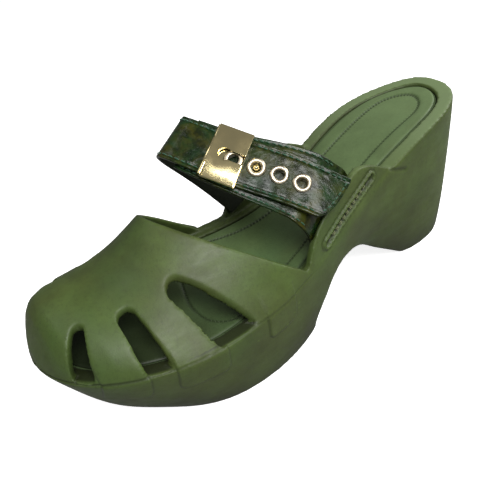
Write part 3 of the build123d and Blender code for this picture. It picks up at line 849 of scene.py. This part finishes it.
def ear_details(run, height, sign):
    """Rise of an ear's groove, the ragged lip and line around it, and the crease behind it; with painted
    shade in the groove, the line and the crease.
    """
    ragged = 0.35 * np.sin(run * 2.3) + 0.25 * np.sin(run * 5.1 + 1.0)
    groove = segment_distance(run, height, *GROOVES[sign]) + ragged * 0.5
    crease = ridge(segment_distance(run, height, *EAR_CREASE), 0, EAR_CREASE_WIDTH)
    trench = GROOVE_DEPTH * (1 - smooth_step(0.9, 1.9, groove))
    trench = trench + OUTER_LINE_DEPTH * ridge(groove, OUTER_LINE_AT, 0.5)
    rise = LIP_RISE * ridge(groove, LIP_AT, 0.55) - trench - EAR_CREASE_DEPTH * crease
    dark = np.maximum(0.5 * ridge(groove, OUTER_LINE_AT, 0.55), 0.8 * (1 - smooth_step(0.8, 2.0, groove)))
    return rise, np.maximum(dark, 0.55 * crease)


def press_details(mesh):
    """Presses the junction crease and grooves in, and raises the flaps and the groove's lips."""
    refine(mesh, needs_detail)
    co = per_point(mesh, "co")
    normal = per_point(mesh, "normal")
    run, side, height = -co[:, 1] / MM, co[:, 0] / MM, co[:, 2] / MM
    above_rim = height - rim_height(run)
    wall, gap = cover_wall(run, side, above_rim, normal)
    line = junction(run, above_rim) * wall
    move = -CREASE_DEPTH * line
    # painted shade in the crease where the cover meets the sole
    dark = 0.75 * line
    # painted shade on the rim's top inside the windows
    shaded_inner_rim = (normal[:, 2] > 0.6) & (np.abs(above_rim) < 1.5) & (run > 122)
    dark = np.maximum(dark, 0.9 * shaded_inner_rim * smooth_step(0.4, 2.2, gap))
    for sign, flaps in FLAPS.items():
        on_side = side * sign > 0
        for edges in flaps:
            share, distance = flap_share(run, above_rim, edges)
            move += FLAP_RISE * share * (wall & on_side)
            # painted shade along the flaps' edges on the sole's wall
            dark = np.maximum(dark, 0.45 * ridge(distance, 0.25, 0.4) * (wall & on_side & (above_rim < 0)))
        upright = (np.hypot(normal[:, 0], normal[:, 1]) > 0.5) & (normal[:, 0] * sign > 0.3)
        on_ear = upright & on_side & (np.abs(side) > EAR_SIDE)
        rise, ear_shade = ear_details(run, height, sign)
        move += rise * on_ear
        # painted shade in the ear's groove and crease
        dark = np.maximum(dark, ear_shade * on_ear)
    co += normal * (move * MM)[:, None]
    mesh.vertices.foreach_set("co", co.ravel())
    # the crease mask holds painted shade, read by the rubber material
    store_mask(mesh, "crease", np.clip(dark, 0, 1))
    mesh.update()


finish_piece(rubber_body(), RUBBER, "upper_rubber", "shoe", "sole_wedge", "upper_shell")


# ---- insole ----
INSOLE_INSET = 9.2
INSOLE_ROUNDING = 1.5  # the rounded edge reaches this far in
INSOLE_EDGE_DROP = 1.1  # and falls by this much
INSOLE_TOP = -0.35  # heights from the rim's top
INSOLE_BOTTOM = -2.7
INSOLE_SKIRT = 1.2  # height of the upright edge
INSOLE_POINTS = 900  # points around its edge
# middle line of the insole (run, side)
INSOLE_MIDDLE = np.array([(-18, 0), (60, 3.5), (110, 2.5), (150, 1.5), (182, -4)], float)
# embossed dotted line around the footbed, closed across the ball of the foot (run, side)
EMBOSS_LINE = [
    (-22, 0), (-15, 11), (1, 14), (45, 16.5), (85, 23), (115, 32), (132, 38), (141, 34), (145, 22), (142, 6),
    (136, -10), (128, -24), (118, -27), (100, -20), (60, -11), (1, -13), (-15, -10),
]
DOT_PITCH = 1.9
DOT_DEPTH = 0.45  # of the dots below the line they are pressed into
LINE_DEPTH = 0.25
LINE_WIDTH = 0.75
FOOTBED_DROP = 0.8  # the footbed inside the line lies this much lower


def inset_outline(count, inset):
    """Points of the outline moved inward."""
    outline = outline_points(count)
    tangent = np.roll(outline, -1, 0) - np.roll(outline, 1, 0)
    inward = np.stack([tangent[:, 1], -tangent[:, 0]], 1)
    inward /= np.linalg.norm(inward, axis=1)[:, None]
    if ((outline.mean(0) - outline) * inward).sum() < 0:
        inward = -inward
    return outline + inward * inset


def insole():
    """Sheet with a rounded edge: rings from the edge to the middle line, then the dotted line pressed in."""
    edge = inset_outline(INSOLE_POINTS, INSOLE_INSET)
    middle_runs, middle_sides = INSOLE_MIDDLE.T
    run = np.clip(-edge[:, 1], middle_runs[0], middle_runs[-1])
    middle = np.stack([np.interp(run, middle_runs, middle_sides), -run], 1)
    reach = np.linalg.norm(middle - edge, axis=1)
    rounded = INSOLE_ROUNDING * (1 - np.cos(np.linspace(0, math.pi / 2, 7)))
    depths = np.concatenate([rounded, [2.2, 3.5, 5, 7, 9, 11]])
    rings = [edge + (middle - edge) * np.minimum(depth / reach, 0.93)[:, None] for depth in depths]
    fall = 1 - np.minimum(depths / INSOLE_ROUNDING, 1)
    drops = list(INSOLE_EDGE_DROP * (1 - np.sqrt(1 - fall ** 2)))
    for share in (0.2, 0.4, 0.6, 0.8, 0.94, 1.0):
        rings.append(rings[len(depths) - 1] * (1 - share) + middle * share)
        drops.append(0.0)

    def at_height(ring, from_rim):
        return np.column_stack([ring, rim_height(-ring[:, 1]) + from_rim])

    top = [at_height(ring, INSOLE_TOP - drop) for ring, drop in zip(rings, drops)]
    skirt = top[0] - (0, 0, INSOLE_SKIRT)
    under = [at_height(ring, INSOLE_BOTTOM) for ring in (middle, (edge + middle) / 2)]
    layers = under + [skirt] + top
    obj = mesh_object("insole_sheet", np.vstack(layers), grid_faces(len(layers), len(edge), wrap=True))
    with editing(obj.data) as work:
        bmesh.ops.remove_doubles(work, verts=work.verts, dist=TOUCHING)
        bmesh.ops.recalc_face_normals(work, faces=work.faces)
    press_dots(obj.data)
    return obj


def press_dots(mesh):
    """The dotted line, and the footbed inside it a little lower."""
    line, length = spline([(side, -run) for run, side in EMBOSS_LINE], 1200, closed=True)
    tree = plan_tree(line)
    for reach in (3.0, 2.0, 1.3):
        refine(mesh, lambda run, side, height: tree.find((side, -run, 0))[2] < reach)
    co = per_point(mesh, "co")
    up = per_point(mesh, "normal")[:, 2] > 0.5
    found = [tree.find((x / MM, y / MM, 0)) for x, y, _ in co]
    index = np.array([f[1] for f in found])
    away = np.array([f[2] for f in found])
    following = np.roll(line, -1, 0)
    ahead = (following - line)[index]
    offset = co[:, :2] / MM - line[index]
    left_of_line = ahead[:, 0] * offset[:, 1] - ahead[:, 1] * offset[:, 0] > 0
    area = (line[:, 0] * following[:, 1] - following[:, 0] * line[:, 1]).sum()
    depth = np.where(left_of_line == (area > 0), away, -away)
    dots = 0.5 + 0.5 * np.cos(index / len(line) * 2 * math.pi * round(length / DOT_PITCH))
    pressed = ridge(depth, 0, LINE_WIDTH)
    drop = (LINE_DEPTH + DOT_DEPTH * dots) * pressed + FOOTBED_DROP * smooth_step(-2.5, 2.0, depth)
    co[:, 2] -= drop * up * MM
    mesh.vertices.foreach_set("co", co.ravel())
    # painted shade in the pressed line, darker in the dots
    store_mask(mesh, "crease", pressed * (0.45 + 0.55 * dots) * up)
    mesh.update()
    shade_smooth(mesh)


finish_piece(insole(), INSOLE, "insole_cover", "shoe", "insole_cover")


# ---- straps ----
EYELETS = [EYELET_PITCH * i for i in range(4)]
EYELET_BORE_R = 2.7
STUD_BORE_R = 1.55
SEAM = HALF - 1.9
SHORT_SEAM_INSET = 1.6
BACKING_INSET = 0.25


def strap_relief(d, a):
    """Padding between the seams, pulled in along the stitching."""
    ripple = 0.07 * np.sin(d * 0.9 + 1.3 * np.sin(a * 0.5)) * smooth_step(5, 7, np.abs(a))
    return ripple - 0.38 * ridge(np.abs(a), SEAM, 0.6)


def tip_line(a):
    """Where the free end stops, by the offset across: a slanted cut with a rounded front corner."""
    share = (a + HALF) / STRAP_WIDTH
    slant = TIP_REAR + (TIP_FRONT - TIP_REAR) * share
    corner = np.clip((share - 0.62) / 0.38, 0, 1)
    nose = np.clip((0.10 - share) / 0.10, 0, 1)
    return slant - 4.2 * (1 - np.sqrt(np.maximum(1 - corner ** 2, 0))) - 1.0 * nose ** 2


def long_strap():
    outer = ply("long_strap_leather", LONG, (LONG.start, TIP_REAR, 0.55),
                lambda d: (d * 0 - HALF, d * 0 + HALF),
                -LEATHER, 0.0, 0.55, tip_line, strap_relief)
    inset = HALF - BACKING_INSET
    backing = ply("long_strap_backing", LONG, (LONG.start, TIP_REAR, 1.1),
                  lambda d: (d * 0 - inset, d * 0 + inset),
                  -STRAP_STACK, -LEATHER + 0.02, 0.35, lambda a: tip_line(a) - BACKING_INSET)
    for obj in (outer, backing):
        for distance in EYELETS:
            cut(obj, peg(LONG, distance, EYELET_BORE_R, -4, 3))
    return outer, backing


def short_edges(d, inset=0.0):
    """Rear and front edge of the short strap, or lines inside them."""
    distances, rear, front = SHORT_EDGES.T
    return np.interp(d, distances, rear) + inset, np.interp(d, distances, front) - inset


def short_relief(d, a):
    rear, front = short_edges(d, SHORT_SEAM_INSET)
    return -0.28 * (ridge(a, rear, 0.55) + ridge(a, front, 0.55))


def short_strap():
    outer = ply("short_strap_leather", SHORT, (SHORT.start, SHORT.end, 0.8), short_edges,
                -LEATHER, 0.0, 0.5, None, short_relief)
    backing = ply("short_strap_backing", SHORT, (SHORT.start, SHORT.end, 1.6),
                  lambda d: tuple(e * 0.985 for e in short_edges(d)), -STRAP_STACK, -LEATHER + 0.02, 0.35)
    for obj in (outer, backing):
        cut(obj, peg(LONG, EYELETS[1], STUD_BORE_R, UNDER - 4, UNDER + 2))
    return outer, backing


def bend_over_joint(obj):
    """Bakes the piece's placement into its mesh; the bend's start and end are worked out but not used."""
    start = LONG.place(TAIL_START - 1.2, 0, 0) * MM
    end = LONG.place(TAIL_START + 1.6, 0, 0) * MM
    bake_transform(obj)


leather, backing = long_strap()
finish_piece(leather, PATENT, "patent_leather", None, "long_strap_outer", "strap_tail_outer")
finish_piece(backing, BACKING, "lining", None, "long_strap_lining", "strap_tail_lining")
for piece in (leather, backing):
    bend_over_joint(piece)
leather, backing = short_strap()
finish_piece(leather, PATENT, "patent_leather", "shoe", "short_strap_outer")
finish_piece(backing, BACKING, "lining", "shoe", "short_strap_lining")


def tip_seam(offset_from_end):
    """Stitches along the slanted tip, as a band of its own."""
    stations = []
    for a in np.linspace(-SEAM, SEAM - 0.5, 8):
        d = float(tip_line(np.array(a))) - offset_from_end
        p = LONG.place(d, a, 0)
        w = LONG.read(LONG.forward, d)
        stations.append((-p[1], p[0], p[2], w[1], -w[0], -w[2]))
    return Band(stations)


TIP_BAND = tip_seam(2.0)
finish_piece(stitches("long_strap_thread", [
    stitch_row(LONG, LONG.start + 12, PLATE_START - 1.5, aside, 0) for aside in (-SEAM, SEAM)
]), THREAD, "thread", "shoe", "long_strap_stitches")
finish_piece(stitches("tail_thread", [
    stitch_row(LONG, TAIL_START + 1.8, TIP_REAR - 3.2, -SEAM, 0),
    stitch_row(LONG, TAIL_START + 1.8, TIP_FRONT - 5, SEAM, 0),
    stitch_row(TIP_BAND, 0.5, TIP_BAND.length - 0.5, 0, 0),
]), THREAD, "thread", "tail", "tail_stitches")
finish_piece(stitches("short_strap_thread", [
    stitch_row(SHORT, SHORT.start + 2, 42, lambda d: float(short_edges(d, SHORT_SEAM_INSET)[edge]), 0)
    for edge in (0, 1)
]), THREAD, "thread", "shoe", "short_strap_stitches")


# ---- ear stitches ----
def ear_band(sign, node):
    """Band along an ear's groove, down to the front, from the box around its CAD stitches."""
    low, high = (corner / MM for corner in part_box(node))
    inner, outer = (low.x, high.x) if sign > 0 else (high.x, low.x)
    rear = np.array([-high.y, inner, high.z])
    front = np.array([-low.y, outer, low.z])
    across = (0.46, 0.10 * sign, 0.88)
    stations = [(*point, *across) for point in (rear, (rear + front) / 2, front)]
    return Band(stations[::sign])


for sign, node in ((1, "lateral_ear_stitches"), (-1, "medial_ear_stitches")):
    band = ear_band(sign, node)
    rows = [
        stitch_row(band, 1, band.length - 1, aside, 0.1, pitch=3.0, length=2.3, radius=0.24)
        for aside in (-0.55, 0.55)
    ]
    finish_piece(stitches(node.replace("stitches", "thread"), rows), EAR_THREAD, "ear_thread", "shoe", node)


# ---- buckle and eyelets ----
# sections as (radius, height) from the strap's face
RING = [
    (2.3, -2.7), (2.3, 0.2), (2.38, 0.5), (2.62, 0.82), (3.0, 1.0), (3.45, 1.02), (3.9, 0.86), (4.25, 0.55),
    (4.4, 0.2), (4.35, 0.0), (4.1, -0.1), (2.95, -0.15), (2.65, -0.4), (2.65, -2.7),
]
finish_piece(join("tail_eyelet_rings", [lathe("ring", RING, LONG.matrix(d)) for d in EYELETS[1:]]),
             PALE_METAL, "gold_metal", "tail", "tail_eyelets")
HIDDEN_RING_TOP = 0.7  # the ring under the plate is pressed flatter
LOW_RING = [(radius, min(height, HIDDEN_RING_TOP)) for radius, height in RING]
finish_piece(lathe("hidden_eyelet_ring", LOW_RING, LONG.matrix(0)),
             PALE_METAL, "gold_metal", "shoe", "hidden_eyelet")

STUD = [
    (0.0, 0.75), (0.55, 0.6), (1.2, 0.1), (1.5, -0.25), (1.5, -5.6), (3.0, -5.7), (3.0, -6.1), (0.0, -6.2),
]
finish_piece(lathe("stud", STUD, LONG.matrix(EYELETS[1]), 24), GOLD, "gold_metal", "shoe", "strap_stud")

COVER_LOW, COVER_HIGH = 1.2, 2.4
PLATE_EDGE = 0.45  # rounding of the plate's edges
HINGE_HEIGHT = 1.37
KNUCKLE_R = 1.25
KNUCKLE_HALF = 6.3  # half the length of the cover's knuckle
SLOT_AT, SLOT_ROUND, SLOT_HALF = -4.2, 3.0, 2.25


def plate_bend(a):
    """Height of the bent plate by the offset across: flat behind, curving down to the front edge."""
    front = np.maximum(a + 1.0, 0)
    return 0.75 - 0.2 * (np.minimum(a, 0) / HALF) ** 2 - 1.0 * (front / HALF) ** 2


def keyhole_cutter():
    """Round hole with a slot running out of the plate's free edge."""
    opening = math.asin(SLOT_HALF / SLOT_ROUND)
    outline = [
        (SLOT_ROUND * math.cos(t), SLOT_ROUND * math.sin(t))
        for t in np.linspace(opening, 2 * math.pi - opening, 40)
    ]
    reach = PLATE_END - SLOT_AT + 3
    outline += [(reach, -SLOT_HALF), (reach, SLOT_HALF)]
    return prism(outline, 0.0, 5.0, LONG.matrix(SLOT_AT))


def flat_place(d, a, height):
    """Points of the stiff plate, laid off from the middle of the buckle and not along the strap."""
    middle = (PLATE_START + PLATE_END) / 2
    forward, across, out = LONG.axes(middle)
    offsets = forward * (d - middle)[..., None] + across * a[..., None] + out * height[..., None]
    return LONG.place(middle, 0, 0) + offsets


def buckle_cover():
    """Bent plate with a keyhole and a knuckle."""
    half = PLATE_WIDTH / 2
    d, a = np.meshgrid(np.linspace(PLATE_START, PLATE_END, 40), np.linspace(-half, half, 46), indexing="ij")
    top, low = (flat_place(d, a, height + plate_bend(a)).reshape(-1, 3) for height in (COVER_HIGH, COVER_LOW))
    rows, columns = d.shape
    shift = rows * columns
    faces = grid_faces(rows, columns) + grid_faces(rows, columns, shift, flip=True)
    border = list(range(columns)) + [i * columns + columns - 1 for i in range(1, rows)]
    border += [(rows - 1) * columns + j for j in range(columns - 2, -1, -1)]
    border += [i * columns for i in range(rows - 2, 0, -1)]
    for first, second in zip(border, border[1:] + border[:1]):
        faces.append((first, second, second + shift, first + shift))
    plate = outward(mesh_object("buckle_plate", np.vstack([top, low]), faces))
    cut(plate, keyhole_cutter())
    modify(plate, "BEVEL", width=PLATE_EDGE * MM, segments=3, limit_method="ANGLE",
           angle_limit=math.radians(40))
    return join("buckle_plate", [plate, knuckle()])


def knuckle(sides=28, chamfer=0.25):
    """The cover's round bar on the hinge line, with chamfered ends."""
    forward, _, out = LONG.axes(PLATE_START)
    flat = KNUCKLE_HALF - chamfer
    narrow = KNUCKLE_R * 0.85
    points = []
    for aside, r in ((-KNUCKLE_HALF, narrow), (-flat, KNUCKLE_R), (flat, KNUCKLE_R), (KNUCKLE_HALF, narrow)):
        base = LONG.place(PLATE_START, aside, HINGE_HEIGHT)
        points += [base + forward * r * math.cos(t) + out * r * math.sin(t) for t in turn_angles(sides)]
    return outward(mesh_object("bar", points, tube_faces(4, sides)))


def paint(node, material):
    """Gives a CAD node that is kept as it is one material."""
    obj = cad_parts[node]
    if not obj.material_slots:
        obj.data.materials.append(material)
    for slot in obj.material_slots:
        slot.material = material


finish_piece(buckle_cover(), GOLD, "gold_metal", "cover", "buckle_cover")
for node in ("buckle_base", "hinge_pin", "base_rivets", "hidden_washer", "tail_washers"):
    paint(node, GOLD)
paint("insole_foam", FOAM)


# ---- stage, light and camera, in metres and degrees ----
FLOOR_HALF = 30.0
FLOOR_LOW = -0.0002  # just under the sole
LIGHT_TARGET = Vector((0.0, -0.10, 0.06))
WORLD_LIGHT = 0.19
CAMERA_AZIMUTH, CAMERA_ELEVATION, CAMERA_ROLL = 59.17, 33.18, -10.18
CAMERA_DISTANCE = 0.2998
LOOK_AT = Vector((-0.0045, -0.0964, 0.0350))
FOCAL_PIXELS = 574.4  # for an image this many pixels wide
IMAGE_PIXELS = 500
SENSOR_WIDTH = 36


def direction(azimuth, elevation):
    """Unit vector away from the shoe; azimuth 0 is in front of the toe, 90 on the outer side."""
    a, e = math.radians(azimuth), math.radians(elevation)
    return Vector((math.sin(a) * math.cos(e), -math.cos(a) * math.cos(e), math.sin(e)))


def floor():
    """Pale floor: white to the camera, darker to the light that bounces off it."""
    size = FLOOR_HALF / MM
    corners = [(-size, -size, 0), (size, -size, 0), (size, size, 0), (-size, size, 0)]
    obj = mesh_object("floor", corners, [(0, 1, 2, 3)], False)
    obj.location.z = FLOOR_LOW
    n = Nodes("floor")
    seen = n.add("ShaderNodeLightPath").outputs["Is Camera Ray"]
    n.set(Base_Color=n.mix(seen, (0.36, 0.36, 0.35), (0.86, 0.86, 0.85)), Roughness=0.9)
    n.set(Emission_Color=(1, 1, 1, 1), Emission_Strength=n.times(seen, 0.85))
    obj.data.materials.append(n.material)


def studio_light(name, azimuth, elevation, distance, size, power):
    """Soft light aimed at the shoe."""
    data = bpy.data.lights.new(name, "AREA")
    data.shape = "RECTANGLE"
    data.size, data.size_y = size
    data.energy = power
    lamp = add_object(name, data)
    away = direction(azimuth, elevation)
    lamp.location = LIGHT_TARGET + away * distance
    lamp.rotation_euler = (-away).to_track_quat("-Z", "Y").to_euler()


def backdrop():
    """World: white to the camera, dim to everything else."""
    world = bpy.data.worlds.new("studio")
    world.use_nodes = True
    nodes, links = world.node_tree.nodes, world.node_tree.links
    brightness = nodes.new("ShaderNodeMapRange")
    brightness.inputs["To Min"].default_value = WORLD_LIGHT
    brightness.inputs["To Max"].default_value = 1.0
    links.new(nodes.new("ShaderNodeLightPath").outputs["Is Camera Ray"], brightness.inputs["Value"])
    links.new(brightness.outputs["Result"], nodes["Background"].inputs["Strength"])
    nodes["Background"].inputs["Color"].default_value = (1, 1, 1, 1)
    bpy.context.scene.world = world
    bpy.context.scene.view_settings.view_transform = "Standard"


def camera():
    back = direction(CAMERA_AZIMUTH, CAMERA_ELEVATION)
    azimuth, roll = math.radians(CAMERA_AZIMUTH), math.radians(CAMERA_ROLL)
    level = Vector((math.cos(azimuth), math.sin(azimuth), 0))
    upright = back.cross(level)
    right = level * math.cos(roll) + upright * math.sin(roll)
    up = upright * math.cos(roll) - level * math.sin(roll)
    data = bpy.data.cameras.new("camera")
    data.sensor_width = SENSOR_WIDTH
    data.lens = FOCAL_PIXELS / IMAGE_PIXELS * SENSOR_WIDTH
    data.clip_start = 0.01
    obj = add_object("camera", data)
    turned = Matrix((right, up, back)).transposed().to_4x4()
    obj.matrix_world = Matrix.Translation(LOOK_AT + back * CAMERA_DISTANCE) @ turned
    bpy.context.scene.camera = obj


floor()
studio_light("key", 78, 47, 0.8, (0.50, 0.28), 6.5)
studio_light("top", -30, 60, 0.9, (0.35, 0.35), 0.9)
studio_light("back", 168, 32, 0.9, (0.5, 0.3), 3.6)
backdrop()
camera()
